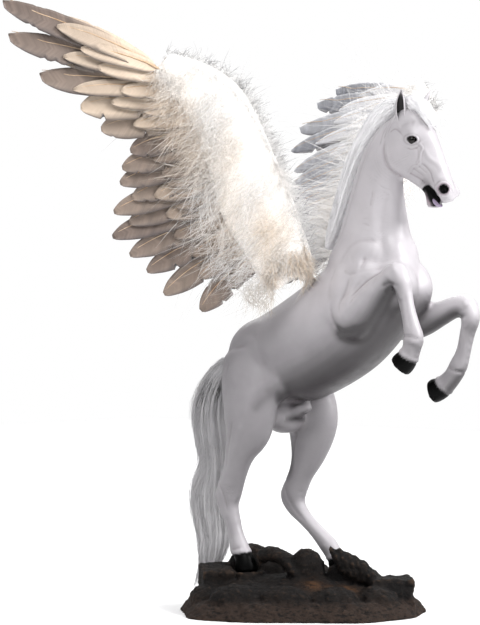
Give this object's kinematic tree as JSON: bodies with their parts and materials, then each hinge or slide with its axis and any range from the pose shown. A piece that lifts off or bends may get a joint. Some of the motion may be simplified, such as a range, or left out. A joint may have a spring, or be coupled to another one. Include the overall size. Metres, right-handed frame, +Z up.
{
  "type": "winged horse figurine",
  "caption": "Rearing winged horse figurine with real-feather wings, down and hair, standing on a rough rock base.",
  "frame": {"origin": "middle of the underside of the rock base", "axes": "+X the way the horse heads, +Y its left side, +Z up"},
  "size_m": [0.4003, 0.5757, 0.6252],
  "materials": {
    "cast_white": "satin",
    "eye_glass": "polished",
    "steel": "plain",
    "wing_board": "matte",
    "flight_feather": "matte",
    "down": "fluffy",
    "hair": "soft",
    "rock": "rough"
  },
  "bodies": {
    "root": {"forelock": "hair", "horse_body": "cast_white", "left_back_down": "down", "left_eye": "eye_glass", "left_foot_pin": "steel", "left_front_down": "down", "left_primary_1": "flight_feather", "left_primary_2": "flight_feather", "left_primary_3": "flight_feather", "left_primary_4": "flight_feather", "left_primary_5": "flight_feather", "left_secondary_01": "flight_feather", "left_secondary_02": "flight_feather", "left_secondary_03": "flight_feather", "left_secondary_04": "flight_feather", "left_secondary_05": "flight_feather", "left_secondary_06": "flight_feather", "left_secondary_07": "flight_feather", "left_secondary_08": "flight_feather", "left_secondary_09": "flight_feather", "left_secondary_10": "flight_feather", "left_secondary_11": "flight_feather", "left_wing_board": "wing_board", "mane": "hair", "right_back_down": "down", "right_eye": "eye_glass", "right_foot_pin": "steel", "right_front_down": "down", "right_primary_1": "flight_feather", "right_primary_2": "flight_feather", "right_primary_3": "flight_feather", "right_primary_4": "flight_feather", "right_primary_5": "flight_feather", "right_secondary_01": "flight_feather", "right_secondary_02": "flight_feather", "right_secondary_03": "flight_feather", "right_secondary_04": "flight_feather", "right_secondary_05": "flight_feather", "right_secondary_06": "flight_feather", "right_secondary_07": "flight_feather", "right_secondary_08": "flight_feather", "right_secondary_09": "flight_feather", "right_secondary_10": "flight_feather", "right_secondary_11": "flight_feather", "right_wing_board": "wing_board", "rock_base": "rock", "tail": "hair"}
  },
  "joints": []
}
